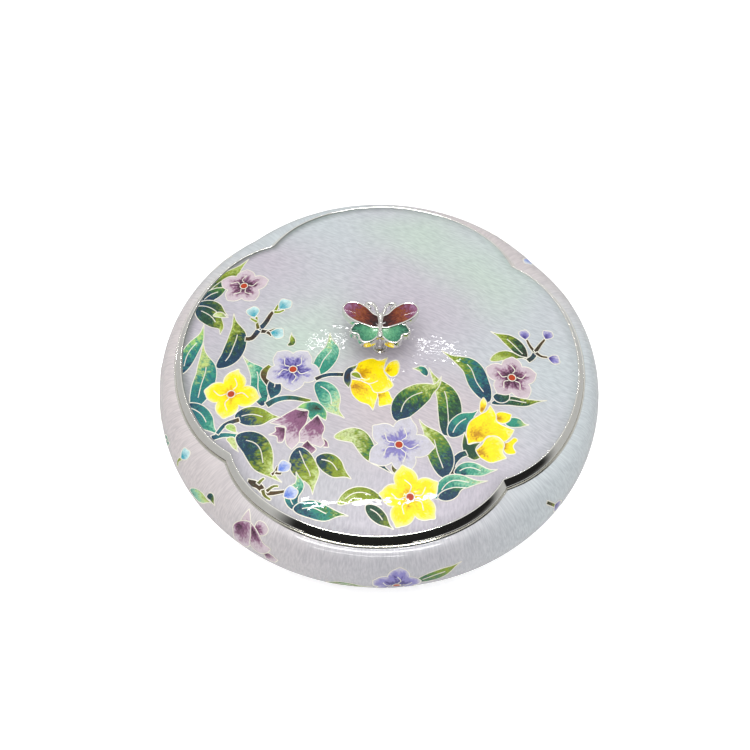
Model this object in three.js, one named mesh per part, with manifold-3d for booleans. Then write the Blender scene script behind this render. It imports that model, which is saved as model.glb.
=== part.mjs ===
// Lidded enamel bowl with a four-lobed mouth, a silver-rimmed lid and a butterfly knob.
// Millimetres, +Z up. The origin is the centre of the foot, on the table.
// The lobes point along X and Y, and the notches between them lie on the diagonals.

import * as THREE from "three";
import { mergeVertices } from "three/addons/utils/BufferGeometryUtils.js";
import Module from "manifold-3d";

const wasm = await Module();
wasm.setup();

// Driving dimensions of the bowl.
const BELLY_RADIUS = 100;
const BELLY_HEIGHT = 29.5;
const BOWL_WALL = 2.2;
const FOOT_RADIUS = 60.5;
const FOOT_WIDTH = 3.2;
const FOOT_HEIGHT = 3.6;
const UNDERSIDE_HEIGHT = 2.8;

// Driving dimensions of the lid. Its outline is measured at the enamel's edge.
const LID_RADIUS = 88;
const LID_EDGE_HEIGHT = 50;
const LID_WALL = 1.8;
const DOME_RISE = 5.5;
const DOME_POWER = 2.6;

// The four-lobed outline: how far it dips from a circle, and how wide a notch is.
const LOBE_DROP = 0.66;
const NOTCH_DEPTH = 7;
const NOTCH_ANGLE = 11.8;
const NOTCH_SHARPNESS = 1.12;

// The silver band round the lid, and the flange below it that centres the lid.
const RIM_WIDTH = 2.6;
const RIM_CREST = 0.5;
const RIM_DROP = 3.7;
const RIM_FOOT_ROUND = 0.5;
const FLANGE_SETBACK = 1.2;
const FLANGE_WIDTH = 1.2;
const FLANGE_DEPTH = 5.8;

// The silver ring in the bowl's mouth, which the band rests on.
const BEZEL_WIDTH = 0.7;
const RING_HEIGHT = 2.2;
const COLLAR_WIDTH = 1.2;
const COLLAR_DEPTH = 4.8;

// The butterfly knob on its post.
const KNOB_TURN = 4.8;
const KNOB_GAP = 11.5;
const WING_THICKNESS = 4;
const WING_BORDER = 1;
const ENAMEL_RECESS = 0.5;
const POST_RADIUS = 1.9;
const POST_FOOT_RADIUS = 3.2;
const POST_FOOT_HEIGHT = 0.8;
const ANTENNA_RADIUS = 0.6;
const BODY_RADIUS = 1.3;
const BODY_SINK = 0.3;

// Space left between pieces that touch or nest.
const CLEARANCE = 0.3;

// Fineness of the facets.
const TURN_STEPS = 72;
const WING_STEPS = 30;
const ANTENNA_STEPS = 12;

const ENAMEL = { color: 0xcdd3d6, roughness: 0.12, metalness: 0.25 };
const SILVER = { color: 0xd9dad6, roughness: 0.12, metalness: 1 };
const ENAMELLED_SILVER = { color: 0x8c5a4a, roughness: 0.2, metalness: 0.5 };

const ringTop = LID_EDGE_HEIGHT - RIM_DROP - CLEARANCE;
const ringOutside = LID_RADIUS + RIM_WIDTH + BEZEL_WIDTH;
const mouthRadius = ringOutside + CLEARANCE;
const domeTop = LID_EDGE_HEIGHT + DOME_RISE;

// Inward dip of the lobed outline at an angle, against the circle through the lobes' tips.
function outlineDip(angle) {
  const quarter = Math.PI / 2;
  const fromLobe = Math.abs(angle - quarter * Math.round(angle / quarter));
  const fromNotch = THREE.MathUtils.radToDeg(quarter / 2 - fromLobe);
  const notch = Math.exp(-((Math.max(fromNotch, 0) / NOTCH_ANGLE) ** NOTCH_SHARPNESS));
  return LOBE_DROP * (1 - Math.cos(4 * fromLobe)) / 2 + NOTCH_DEPTH * notch;
}

// A point of a profile. Its lobed share says how much of the outline's dip it follows.
function station(radius, height, lobed) {
  return { radius, height, lobed };
}

// Turns a profile about +Z and pulls each point in by its share of the outline's dip.
function turned(profile) {
  const points = profile.map((point) => new THREE.Vector2(point.radius, point.height));
  const geometry = new THREE.LatheGeometry(points, TURN_STEPS);
  geometry.rotateX(Math.PI / 2);
  const position = geometry.attributes.position;
  for (let i = 0; i < position.count; i += 1) {
    const { radius, lobed } = profile[i % profile.length];
    const angle = Math.atan2(position.getY(i), position.getX(i));
    const scale = radius > 0 ? 1 - lobed * outlineDip(angle) / radius : 0;
    position.setXY(i, position.getX(i) * scale, position.getY(i) * scale);
  }
  return geometry;
}

// Quarter of an ellipse from its level end to its upright end, or back.
function ellipseSteps(from, to, steps) {
  const angles = [];
  for (let i = 0; i <= steps; i += 1) {
    angles.push(THREE.MathUtils.degToRad(from + (to - from) * i / steps));
  }
  return angles;
}

// One skin of the bowl from its centre up to the mouth.
function bowlSkin(belly, floorRadius, floorHeight, lip, lipHeight, steps) {
  const skin = [];
  for (const angle of ellipseSteps(90, 0, steps)) {
    const radius = belly - (belly - floorRadius) * (1 - Math.cos(angle));
    skin.push(station(radius, BELLY_HEIGHT - (BELLY_HEIGHT - floorHeight) * Math.sin(angle), 0));
  }
  for (const angle of ellipseSteps(0, 90, steps).slice(1)) {
    const share = 1 - Math.cos(angle);
    const height = BELLY_HEIGHT + (lipHeight - BELLY_HEIGHT) * Math.sin(angle);
    skin.push(station(belly - (belly - lip) * share, height, share));
  }
  return skin;
}

// Raised vessel: a hollow body with a foot ring, open at the lobed mouth.
function bowlGeometry() {
  const footInside = FOOT_RADIUS - FOOT_WIDTH;
  const foot = [
    station(0, UNDERSIDE_HEIGHT, 0),
    station(footInside, UNDERSIDE_HEIGHT, 0),
    station(footInside, 0, 0),
    station(FOOT_RADIUS, 0, 0),
  ];
  const outside = bowlSkin(BELLY_RADIUS, FOOT_RADIUS, FOOT_HEIGHT, mouthRadius, ringTop, 6);
  const insideFloor = UNDERSIDE_HEIGHT + BOWL_WALL;
  const inside = bowlSkin(
    BELLY_RADIUS - BOWL_WALL, footInside, insideFloor, mouthRadius, ringTop - BOWL_WALL, 4,
  );
  return turned([...foot, ...outside, ...inside.reverse(), station(0, insideFloor, 0)]);
}

// Ring let into the mouth: a flat seat with a collar that hangs inside it.
function mouthRingGeometry() {
  const inside = LID_RADIUS - FLANGE_SETBACK + CLEARANCE;
  const seatUnderside = ringTop - RING_HEIGHT;
  const collarFoot = seatUnderside - COLLAR_DEPTH;
  return turned([
    station(ringOutside, seatUnderside, 1),
    station(ringOutside, ringTop, 1),
    station(inside, ringTop, 1),
    station(inside, collarFoot, 1),
    station(inside + COLLAR_WIDTH, collarFoot, 1),
    station(inside + COLLAR_WIDTH, seatUnderside, 1),
    station(ringOutside, seatUnderside, 1),
  ]);
}

// Height of the dome's top face at a share of the way from its centre to its edge.
function domeHeight(share) {
  return LID_EDGE_HEIGHT + DOME_RISE * (1 - share ** DOME_POWER);
}

// Domed plate, hollow below.
function lidGeometry() {
  const shares = [1, 0.93, 0.82, 0.66, 0.42, 0];
  const edge = LID_RADIUS - CLEARANCE;
  const top = shares.map((share) => station(edge * share, domeHeight(share), share));
  const underside = top.map((point) => station(point.radius, point.height - LID_WALL, point.lobed));
  return turned([...underside.reverse(), ...top]);
}

// Half-round band round the plate, with a ledge under its edge and the centring flange.
function lidRimGeometry() {
  const bandFoot = LID_EDGE_HEIGHT - RIM_DROP;
  const roundWidth = RIM_WIDTH - RIM_CREST;
  const roundDrop = RIM_CREST + RIM_DROP - 2 * RIM_FOOT_ROUND;
  const crown = LID_EDGE_HEIGHT + RIM_CREST;
  const outside = ellipseSteps(0, 90, 4).map((angle) => station(
    LID_RADIUS + RIM_CREST + roundWidth * Math.cos(angle),
    crown - roundDrop * (1 - Math.sin(angle)),
    1,
  ));
  const flangeOutside = LID_RADIUS - FLANGE_SETBACK;
  const flangeInside = flangeOutside - FLANGE_WIDTH;
  const ledge = LID_EDGE_HEIGHT - LID_WALL - CLEARANCE;
  return turned([
    station(LID_RADIUS + RIM_WIDTH - RIM_FOOT_ROUND, bandFoot, 1),
    ...outside,
    station(LID_RADIUS, LID_EDGE_HEIGHT + RIM_CREST / 2, 1),
    station(LID_RADIUS, ledge, 1),
    station(flangeInside, ledge, 1),
    station(flangeInside, bandFoot - FLANGE_DEPTH, 1),
    station(flangeOutside, bandFoot - FLANGE_DEPTH, 1),
    station(flangeOutside, bandFoot, 1),
    station(LID_RADIUS + RIM_WIDTH - RIM_FOOT_ROUND, bandFoot, 1),
  ]);
}

// Closed geometry to solid, and back.
function solid(geometry) {
  geometry.deleteAttribute("normal");
  geometry.deleteAttribute("uv");
  const merged = mergeVertices(geometry);
  return new wasm.Manifold(new wasm.Mesh({
    numProp: 3,
    vertProperties: Float32Array.from(merged.attributes.position.array),
    triVerts: Uint32Array.from(merged.index.array),
  }));
}

function solidGeometry(shape) {
  const mesh = shape.getMesh();
  const geometry = new THREE.BufferGeometry();
  geometry.setAttribute("position", new THREE.BufferAttribute(mesh.vertProperties, 3));
  geometry.setIndex(new THREE.BufferAttribute(mesh.triVerts, 1));
  geometry.computeVertexNormals();
  return geometry;
}

// Points along the right-hand wings, antenna and body of the butterfly, seen from above.
// The post is at 0, 0 and the head points along +Y.
const UPPER_WING = [
  [0.6, 5.6], [3, 7.4], [6.2, 11], [10.3, 13.3], [14.6, 13], [16.7, 9.6],
  [14.9, 5.6], [11.2, 2.6], [6.6, 0.5], [2.4, -0.9], [0.2, 0.4],
];
const LOWER_WING = [
  [0.2, 1.5], [6, 2.2], [10.6, 2.3], [12.2, 0.4], [13.1, -1.9], [12, -3.4], [9.8, -4.1],
  [9.1, -6.3], [7.2, -8.1], [4.2, -7.9], [1.9, -6.4], [0.2, -3.6],
];
const ANTENNA = [
  [0.8, 6], [1.7, 8.8], [2.3, 10.9], [3.5, 12.4], [4.9, 12.8], [6.1, 12.3], [5.9, 11.2], [4.4, 9.9],
];
const BODY = [
  [0, -6.2], [0.75, -5.7], [1, -4.6], [1, -3.4], [0.7, -2.5], [0.75, -1], [0.6, -0.2], [0.65, 2],
  [0.6, 3.4], [0.85, 4.6], [1, 5.8], [0.8, 6.7], [0, 7.1],
];

function vectors(points) {
  return points.map(([x, y]) => new THREE.Vector2(x, y));
}

// Moves each point of an outline that runs clockwise inwards, at right angles to the edge.
function inset(outline, distance) {
  return outline.map((point, i) => {
    const before = outline[(i + outline.length - 1) % outline.length];
    const after = outline[(i + 1) % outline.length];
    const along = after.clone().sub(before).normalize();
    return new THREE.Vector2(point.x + along.y * distance, point.y - along.x * distance);
  });
}

function slab(outline, foot, thickness) {
  const geometry = new THREE.ExtrudeGeometry(new THREE.Shape(outline), {
    depth: thickness, bevelEnabled: false,
  });
  geometry.translate(0, 0, foot);
  return solid(geometry);
}

// One wing: a thick plate with a raised border round its enamel.
function wing(points, top) {
  const closed = vectors([...points, points[0]]);
  const outline = new THREE.SplineCurve(closed).getPoints(WING_STEPS).slice(0, -1);
  const plate = slab(outline, top - WING_THICKNESS, WING_THICKNESS);
  const pocket = slab(inset(outline, WING_BORDER), top - ENAMEL_RECESS, 2 * ENAMEL_RECESS);
  return plate.subtract(pocket);
}

// One antenna: a round wire that curls back to the wing's front edge.
function antenna(height) {
  const path = new THREE.CatmullRomCurve3(ANTENNA.map(([x, y]) => new THREE.Vector3(x, y, height)));
  const section = new THREE.Shape();
  section.absarc(0, 0, ANTENNA_RADIUS, 0, 2 * Math.PI, false);
  return solid(new THREE.ExtrudeGeometry(section, {
    extrudePath: path, steps: ANTENNA_STEPS, curveSegments: 6,
  }));
}

// Cast butterfly: wings, antennae and ringed body on a post that stands on the lid.
function butterflyGeometry() {
  const foot = domeTop + CLEARANCE;
  const wingTop = domeTop + KNOB_GAP + WING_THICKNESS;
  let half = wing(UPPER_WING, wingTop).add(wing(LOWER_WING, wingTop - ENAMEL_RECESS));
  half = half.add(antenna(wingTop - ANTENNA_RADIUS));
  const body = new THREE.LatheGeometry(
    vectors(BODY.map(([share, along]) => [share * BODY_RADIUS, along])), 10,
  );
  body.translate(0, 0, wingTop - BODY_SINK);
  const post = new THREE.LatheGeometry(vectors([
    [0, foot],
    [POST_FOOT_RADIUS, foot],
    [POST_FOOT_RADIUS, foot + POST_FOOT_HEIGHT / 2],
    [POST_RADIUS, foot + POST_FOOT_HEIGHT],
    [POST_RADIUS, wingTop - WING_THICKNESS / 2],
    [0, wingTop - WING_THICKNESS / 2],
  ]), 16);
  post.rotateX(Math.PI / 2);
  return solidGeometry(half.add(half.mirror([1, 0, 0])).add(solid(body)).add(solid(post)));
}

function piece(name, geometry, finish) {
  const mesh = new THREE.Mesh(geometry, new THREE.MeshStandardMaterial(finish));
  mesh.name = name;
  return mesh;
}

const part = new THREE.Group();
part.add(piece("bowl", bowlGeometry(), ENAMEL));
part.add(piece("mouth_ring", mouthRingGeometry(), SILVER));
part.add(piece("lid", lidGeometry(), ENAMEL));
part.add(piece("lid_rim", lidRimGeometry(), SILVER));
const knob = piece("butterfly_knob", butterflyGeometry(), ENAMELLED_SILVER);
knob.rotation.z = THREE.MathUtils.degToRad(KNOB_TURN);
part.add(knob);

export default part;
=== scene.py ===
import math
from functools import partial

import bpy
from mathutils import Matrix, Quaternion, Vector, noise


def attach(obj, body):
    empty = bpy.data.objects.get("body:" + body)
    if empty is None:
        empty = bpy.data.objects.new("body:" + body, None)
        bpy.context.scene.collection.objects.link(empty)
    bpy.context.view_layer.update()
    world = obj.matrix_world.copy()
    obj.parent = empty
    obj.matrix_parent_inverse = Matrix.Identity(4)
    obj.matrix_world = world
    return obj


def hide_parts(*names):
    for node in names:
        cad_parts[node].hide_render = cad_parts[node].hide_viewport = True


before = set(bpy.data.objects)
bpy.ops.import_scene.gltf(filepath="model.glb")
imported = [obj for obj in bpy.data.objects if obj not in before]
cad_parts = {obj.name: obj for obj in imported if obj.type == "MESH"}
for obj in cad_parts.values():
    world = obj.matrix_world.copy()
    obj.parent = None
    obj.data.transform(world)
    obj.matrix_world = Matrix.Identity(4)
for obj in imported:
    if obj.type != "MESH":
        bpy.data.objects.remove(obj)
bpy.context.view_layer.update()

# The bowl
# A low round body raised from silver sheet, closed in at the shoulder to a four-lobed
# mouth, enamelled outside over a chased ground and in a plain pale coat inside.

MM = 0.001
BELLY_RADIUS = 100.0
BELLY_HEIGHT = 29.5
BOWL_WALL = 2.2
MOUTH_RADIUS = 91.6
MOUTH_HEIGHT = 46.0
FOOT_RADIUS = 60.5
FOOT_WIDTH = 3.2
FOOT_HEIGHT = 3.6
UNDERSIDE_HEIGHT = 2.8
LOBE_DROP = 0.66
NOTCH_DEPTH = 7.0
NOTCH_ANGLE = 11.8
NOTCH_SHARPNESS = 1.12
UPPER_ARC = 20.6
LOWER_ARC = 52.0
RIPPLE_DEPTH = 0.014
RIPPLE_LENGTH = 1.9
SWELL_LENGTH = 6.5
RIPPLE_CALMED = 0.45
CALM_START = 42
CALM_WIDTH = 16
SKIN_SINK = 0.15
STROKE_DEPTH = 0.02
STROKES_ROUND = 150.0
STROKES_UP = 420.0


def hue(code, strength=1.0):
    """The linear colour of a six-figure hex code, made lighter or darker by strength."""
    parts = [int(code[i : i + 2], 16) / 255 for i in (0, 2, 4)]
    linear = [p / 12.92 if p < 0.04045 else ((p + 0.055) / 1.055) ** 2.4 for p in parts]
    return tuple(min(p * strength, 1.0) for p in linear)


def blend(a, b, share):
    """The colour that lies this share of the way from a to b."""
    return tuple(p + (q - p) * share for p, q in zip(a, b))


def ramp(colours, share):
    """The colour at a share of the way along a row of evenly spaced colours."""
    place = max(0.0, min(share, 1.0)) * (len(colours) - 1)
    first = min(int(place), len(colours) - 2)
    return blend(colours[first], colours[first + 1], place - first)


class Socket:
    """A shader socket that takes part in Python sums."""

    def __init__(self, nodes, socket):
        self.nodes = nodes
        self.socket = socket

    def sum(self, operation, first, second):
        return self.nodes.add("ShaderNodeMath", {"operation": operation}, {0: first, 1: second})

    def __add__(self, other):
        return self.sum("ADD", self, other)

    def __radd__(self, other):
        return self.sum("ADD", other, self)

    def __sub__(self, other):
        return self.sum("SUBTRACT", self, other)

    def __rsub__(self, other):
        return self.sum("SUBTRACT", other, self)

    def __mul__(self, other):
        return self.sum("MULTIPLY", self, other)

    def __truediv__(self, other):
        return self.sum("DIVIDE", self, other)

    def root(self):
        return self.sum("POWER", self, 0.5)


class Nodes:
    """A node tree that is filled in from Python."""

    def __init__(self, tree):
        self.tree = tree

    def put(self, socket, value):
        if isinstance(value, Socket):
            self.tree.links.new(value.socket, socket)
        elif hasattr(value, "__len__") and len(value) == 3 and socket.type == "RGBA":
            socket.default_value = (*value, 1.0)
        else:
            socket.default_value = value

    def add(self, kind, settings, inputs, output=0):
        node = self.tree.nodes.new(kind)
        for key, value in settings.items():
            setattr(node, key, value)
        for key, value in inputs.items():
            self.put(node.inputs[key], value)
        return Socket(self, node.outputs[output])

    def mix(self, factor, first, second):
        """Colour first where factor is 0 and second where it is 1."""
        return self.add(
            "ShaderNodeMix", {"data_type": "RGBA"}, {0: factor, 6: first, 7: second}, output=2
        )

    def times(self, first, second):
        """Two colours multiplied together."""
        settings = {"data_type": "RGBA", "blend_type": "MULTIPLY"}
        return self.add("ShaderNodeMix", settings, {0: 1.0, 6: first, 7: second}, output=2)

    def vector(self, operation, first, second, output=0):
        settings = {"operation": operation}
        return self.add("ShaderNodeVectorMath", settings, {0: first, 1: second}, output)

    def unit(self, vector):
        return self.add("ShaderNodeVectorMath", {"operation": "NORMALIZE"}, {0: vector})

    def scaled(self, vector, factor):
        settings = {"operation": "SCALE"}
        return self.add("ShaderNodeVectorMath", settings, {0: vector, "Scale": factor})

    def fade(self, value, start, end):
        """0 up to start, 1 from end on, with a soft step between."""
        settings = {"interpolation_type": "SMOOTHSTEP"}
        inputs = {"Value": value, "From Min": start, "From Max": end}
        return self.add("ShaderNodeMapRange", settings, inputs)

    def noise(self, place, scale, detail=2.0, output=0):
        """Noise from 0 to 1, or as a colour with output 1."""
        inputs = {"Vector": place, "Scale": scale, "Detail": detail}
        return self.add("ShaderNodeTexNoise", {}, inputs, output)

    def speckle(self, place, size, detail=2.0):
        """Noise with grains of this size in mm."""
        return self.noise(place, 1 / (size * MM), detail)

    def bump(self, height, depth):
        """A surface normal roughened by height, this many mm deep."""
        inputs = {"Height": height, "Distance": depth * MM, "Strength": 1.0}
        return self.add("ShaderNodeBump", {}, inputs)

    def carried(self, output):
        """What the mesh carries at each point: Color, or the graininess as Alpha."""
        return self.add("ShaderNodeAttribute", {"attribute_name": "enamel"}, {}, output)

    def place(self):
        """The point on the object, in metres."""
        return self.add("ShaderNodeTexCoord", {}, {}, output="Object")

    def parts(self, vector):
        return [self.add("ShaderNodeSeparateXYZ", {}, {0: vector}, output=i) for i in range(3)]

    def joined(self, x, y, z):
        return self.add("ShaderNodeCombineXYZ", {}, {0: x, 1: y, 2: z})


def finish(name, fill):
    """A material whose Principled shader gets the sockets that fill(nodes) returns by name."""
    material = bpy.data.materials.new(name)
    material.use_nodes = True
    nodes = Nodes(material.node_tree)
    shader = material.node_tree.nodes["Principled BSDF"]
    for key, value in fill(nodes).items():
        nodes.put(shader.inputs[key], value)
    return material


GROUND_BLUE = hue("CCD4D6", 0.92)
GROUND_GREY = hue("C6C5C9", 0.92)
GROUND_WARM = hue("D3CBCA", 0.94)


def pearly(nodes, colour, strokes):
    """Shader values of clear enamel over chased silver: pale, fine strokes, glossy top, darkened by the
    painted shade that the mesh carries.
    """
    # The carried colour multiplies in the painted shade next to the lid's rim; the bowl carries plain
    # white.
    tint_with_painted_shade = nodes.times(colour, nodes.carried("Color"))
    light = nodes.fade(strokes, 0.25, 0.75)
    cloud = nodes.speckle(nodes.place(), 9.0)
    shade = nodes.mix(light * 0.7 + cloud * 0.3, hue("DADADE"), hue("FFFFFF"))
    return {
        "Base Color": nodes.times(tint_with_painted_shade, shade),
        "Metallic": 0.06,
        "Roughness": 0.42,
        "Specular IOR Level": 0.15,
        "Normal": nodes.bump(strokes, STROKE_DEPTH),
        "Coat Weight": 1.0,
        "Coat Roughness": 0.02,
        "Coat IOR": 1.4,
    }


def bowl_ground(nodes):
    place = nodes.place()
    x, y, z = nodes.parts(place)
    outward = nodes.unit(nodes.vector("MULTIPLY", place, (1.0, 1.0, 0.0)))
    across, along, _ = nodes.parts(nodes.scaled(outward, STROKES_ROUND))
    strokes = nodes.noise(nodes.joined(across, along, z * STROKES_UP), 1.0)
    left = nodes.fade(x, 0.02, -0.08)
    right = nodes.fade(x, 0.03, 0.085)
    colour = nodes.mix(left, GROUND_GREY, GROUND_WARM)
    colour = nodes.mix(right, colour, GROUND_BLUE)
    back = nodes.mix(nodes.fade(x, -0.03, 0.03), GROUND_BLUE, GROUND_WARM)
    colour = nodes.mix(nodes.fade(y, 0.01, 0.07), colour, back)
    return pearly(nodes, colour, strokes)


def counter_enamel(nodes):
    cloud = nodes.speckle(nodes.place(), 5.0)
    colour = nodes.mix(cloud, hue("C2C9CC"), hue("D6DADA"))
    return {
        "Base Color": colour,
        "Roughness": 0.22,
        "Normal": nodes.bump(cloud, 0.1),
        "Coat Weight": 0.5,
    }


def silver(nodes):
    haze = nodes.speckle(nodes.place(), 2.5, 3.0)
    colour = nodes.mix(haze, hue("DBDAD4"), hue("E8E7E2"))
    return {"Base Color": colour, "Metallic": 1.0, "Roughness": 0.06 + haze * 0.06}


bowl_enamel = finish("bowl_ground", bowl_ground)
plain_enamel = finish("counter_enamel", counter_enamel)
polished_silver = finish("polished_silver", silver)


def lobe_dip(angle):
    """How far the four-lobed outline lies inside the circle through its lobes' tips."""
    quarter = math.pi / 2
    from_lobe = abs(angle - quarter * round(angle / quarter))
    from_notch = math.degrees(quarter / 2 - from_lobe)
    notch = math.exp(-((max(from_notch, 0.0) / NOTCH_ANGLE) ** NOTCH_SHARPNESS))
    return LOBE_DROP * (1 - math.cos(4 * from_lobe)) / 2 + NOTCH_DEPTH * notch


def turn_angles():
    """Angles once round the object, closer together at the four notches."""
    from_notch = [0.3 * i for i in range(20)] + [6.0 + 0.6 * i for i in range(66)]
    degrees = set()
    for notch in (45, 135, 225, 315):
        for away in from_notch:
            degrees.add(round(notch + away, 3) % 360)
            degrees.add(round(notch - away, 3) % 360)
    return [math.radians(d) for d in sorted(degrees)]


def eased(share):
    """The share kept between 0 and 1, with a soft start and a soft end."""
    share = max(0.0, min(share, 1.0))
    return share * share * (3 - 2 * share)


def ripple(point):
    """Slight unevenness of a stoned and fired enamel surface, calmer away from the middle."""
    calm = 1 - RIPPLE_CALMED * eased((math.hypot(point[0], point[1]) - CALM_START) / CALM_WIDTH)
    small = noise.noise(Vector(point) / RIPPLE_LENGTH)
    return RIPPLE_DEPTH * (2 * calm * small + noise.noise(Vector(point) / SWELL_LENGTH))


def add_object(name, points, faces, material, replaces=None, colours=None):
    """A smooth mesh on the root body, in metres, from points in mm."""
    mesh = bpy.data.meshes.new(name)
    mesh.from_pydata([(x * MM, y * MM, z * MM) for x, y, z in points], [], faces)
    mesh.materials.append(material)
    mesh.shade_smooth()
    mesh.set_sharp_from_angle(angle=math.radians(50))
    if colours:
        layer = mesh.attributes.new("enamel", "FLOAT_COLOR", "POINT")
        layer.data.foreach_set("color", [part for c in colours for part in (*c, 0.0)[:4]])
    piece = bpy.data.objects.new(name, mesh)
    bpy.context.collection.objects.link(piece)
    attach(piece, "root")
    if replaces:
        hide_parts(replaces)
    return piece


def turned(name, rows, material, replaces, closed=False, shades=None):
    """A skin through rows, each of which gives its point for an angle round the object."""
    angles = turn_angles()
    count = len(angles)
    points = [row(angle) for row in rows for angle in angles]
    colours = [shade(angle) for shade in shades for angle in angles] if shades else None
    faces = []
    for i in range(len(rows) if closed else len(rows) - 1):
        low, high = i * count, (i + 1) % len(rows) * count
        for j in range(count):
            k = (j + 1) % count
            faces.append((low + j, low + k, high + k, high + j))
    return add_object(name, points, faces, material, replaces, colours)


def station(radius, height, lobed=0.0):
    """A row at one height, which follows the outline's dip by its lobed share."""

    def point(angle):
        reach = radius - lobed * lobe_dip(angle)
        return (reach * math.cos(angle), reach * math.sin(angle), height)

    return point


def skin_point(angle, turn, skin, lift=0.0, rough=0.0):
    """A point of a bowl skin; turn runs from -90 degrees at the foot to 90 at the mouth."""
    belly, base_radius, base_height, lip_height = skin
    upper = turn >= 0
    end = MOUTH_RADIUS - lobe_dip(angle) if upper else base_radius
    reach = belly - end
    rise = (lip_height if upper else base_height) - BELLY_HEIGHT
    out, up = abs(rise) * math.cos(turn), reach * math.sin(turn)
    size = math.hypot(out, up) or 1.0
    radius = belly - reach * (1 - math.cos(turn))
    height = BELLY_HEIGHT + abs(rise) * math.sin(turn)
    base = (radius * math.cos(angle), radius * math.sin(angle), height)
    lift += rough * (ripple(base) - SKIN_SINK)
    radius += lift * out / size
    return (radius * math.cos(angle), radius * math.sin(angle), height + lift * up / size)


OUTER_SKIN = (BELLY_RADIUS, FOOT_RADIUS, FOOT_HEIGHT, MOUTH_HEIGHT)
INNER_SKIN = (
    BELLY_RADIUS - BOWL_WALL,
    FOOT_RADIUS - FOOT_WIDTH,
    UNDERSIDE_HEIGHT + BOWL_WALL,
    MOUTH_HEIGHT - BOWL_WALL,
)


def skin_rows(skin, turns, rough=0.0):
    """Rows of a bowl skin at these turns in degrees."""
    return [partial(skin_point, turn=math.radians(t), skin=skin, rough=rough) for t in turns]


def clear(angle):
    """Enamel that isn't darkened at any angle."""
    return (1.0, 1.0, 1.0)


outer_turns = [-90 + 2.5 * i for i in range(36)] + [3.75 * i for i in range(25)]
outer_rows = skin_rows(OUTER_SKIN, outer_turns, rough=1.0)
outer_shades = [clear] * len(outer_rows)
turned("bowl_enamel", outer_rows, bowl_enamel, "bowl", shades=outer_shades)

lining_rows = [station(MOUTH_RADIUS, MOUTH_HEIGHT, 1.0)]
lining_rows += skin_rows(INNER_SKIN, [90 - 7.5 * i for i in range(25)])
lining_rows += [station(40.0, INNER_SKIN[2]), station(0.01, INNER_SKIN[2])]
turned("bowl_lining", lining_rows, plain_enamel, "bowl")

underside_rows = [
    station(FOOT_RADIUS, FOOT_HEIGHT),
    station(FOOT_RADIUS - FOOT_WIDTH, UNDERSIDE_HEIGHT),
    station(30.0, UNDERSIDE_HEIGHT),
    station(0.01, UNDERSIDE_HEIGHT),
]
turned("bowl_underside", underside_rows, plain_enamel, "bowl")

# The foot ring
# A bare silver ring soldered under the bowl, with its edges worn round.

foot_inside = FOOT_RADIUS - FOOT_WIDTH
foot_rows = [
    station(FOOT_RADIUS + 0.9, FOOT_HEIGHT + 0.5),
    station(FOOT_RADIUS + 0.1, FOOT_HEIGHT - 0.4),
    station(FOOT_RADIUS, 0.7),
    station(FOOT_RADIUS - 0.2, 0.2),
    station(FOOT_RADIUS - 0.7, 0.0),
    station(foot_inside + 0.7, 0.0),
    station(foot_inside + 0.2, 0.2),
    station(foot_inside, 0.7),
    station(foot_inside - 0.1, UNDERSIDE_HEIGHT + 0.2),
]
turned("bowl_foot", foot_rows, polished_silver, "bowl")

# The mouth ring
# A four-lobed silver ring let into the mouth: a flat seat with a rounded outer edge and a
# thin collar that hangs inside the bowl.

SEAT_INSIDE = 87.1
COLLAR_OUTSIDE = 88.3
COLLAR_FOOT = 39.0

ring_section = [
    (MOUTH_RADIUS + 0.1, MOUTH_HEIGHT - 0.5),
    (MOUTH_RADIUS + 0.05, MOUTH_HEIGHT - 0.05),
    (MOUTH_RADIUS - 0.2, MOUTH_HEIGHT + 0.2),
    (MOUTH_RADIUS - 0.6, MOUTH_HEIGHT + 0.1),
    (MOUTH_RADIUS - 0.9, MOUTH_HEIGHT),
    (SEAT_INSIDE + 0.3, MOUTH_HEIGHT),
    (SEAT_INSIDE, MOUTH_HEIGHT - 0.3),
    (SEAT_INSIDE, COLLAR_FOOT + 0.3),
    (SEAT_INSIDE + 0.3, COLLAR_FOOT),
    (COLLAR_OUTSIDE - 0.3, COLLAR_FOOT),
    (COLLAR_OUTSIDE, COLLAR_FOOT + 0.3),
    (COLLAR_OUTSIDE, MOUTH_HEIGHT - BOWL_WALL),
    (MOUTH_RADIUS, MOUTH_HEIGHT - BOWL_WALL),
]
ring_rows = [station(radius, height, 1.0) for radius, height in ring_section]
turned("mouth_ring_silver", ring_rows, polished_silver, "mouth_ring", closed=True)

# The lid
# A shallow domed silver lid with the same lobes, enamelled over a ground chased in short
# level strokes; its underside has a plain coat.

LID_EDGE_RADIUS = 87.95
LID_EDGE_HEIGHT = 50.0
LID_WALL = 1.8
DOME_RISE = 5.5
DOME_POWER = 2.6
# Where the painted shade next to the rim starts and how wide it is, as shares of the way to the edge.
RIM_SHADE_START = 0.945
RIM_SHADE_WIDTH = 0.045
RIM_SHADE_LINE_START = 0.99
RIM_SHADE_LINE_WIDTH = 0.01
LID_ROWS = 120
UNDER_ROWS = 12
CENTRE_SHARE = 0.0005
WANDER = 30.0

GROUND_LILAC = hue("CBC5CE", 0.9)
GROUND_PINK = hue("D3C9CC", 0.88)
GROUND_MINT = hue("C8D8CC", 0.93)


def lid_height(x, y):
    """Height of the lid's enamel over a point."""
    far = math.hypot(x, y)
    share = min(far / (LID_EDGE_RADIUS - lobe_dip(math.atan2(y, x))), 1.0)
    lobed = eased((share - 0.4) / 0.6)
    share = share * lobed + far / LID_EDGE_RADIUS * (1 - lobed)
    return LID_EDGE_HEIGHT + DOME_RISE * (1 - share**DOME_POWER)


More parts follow.
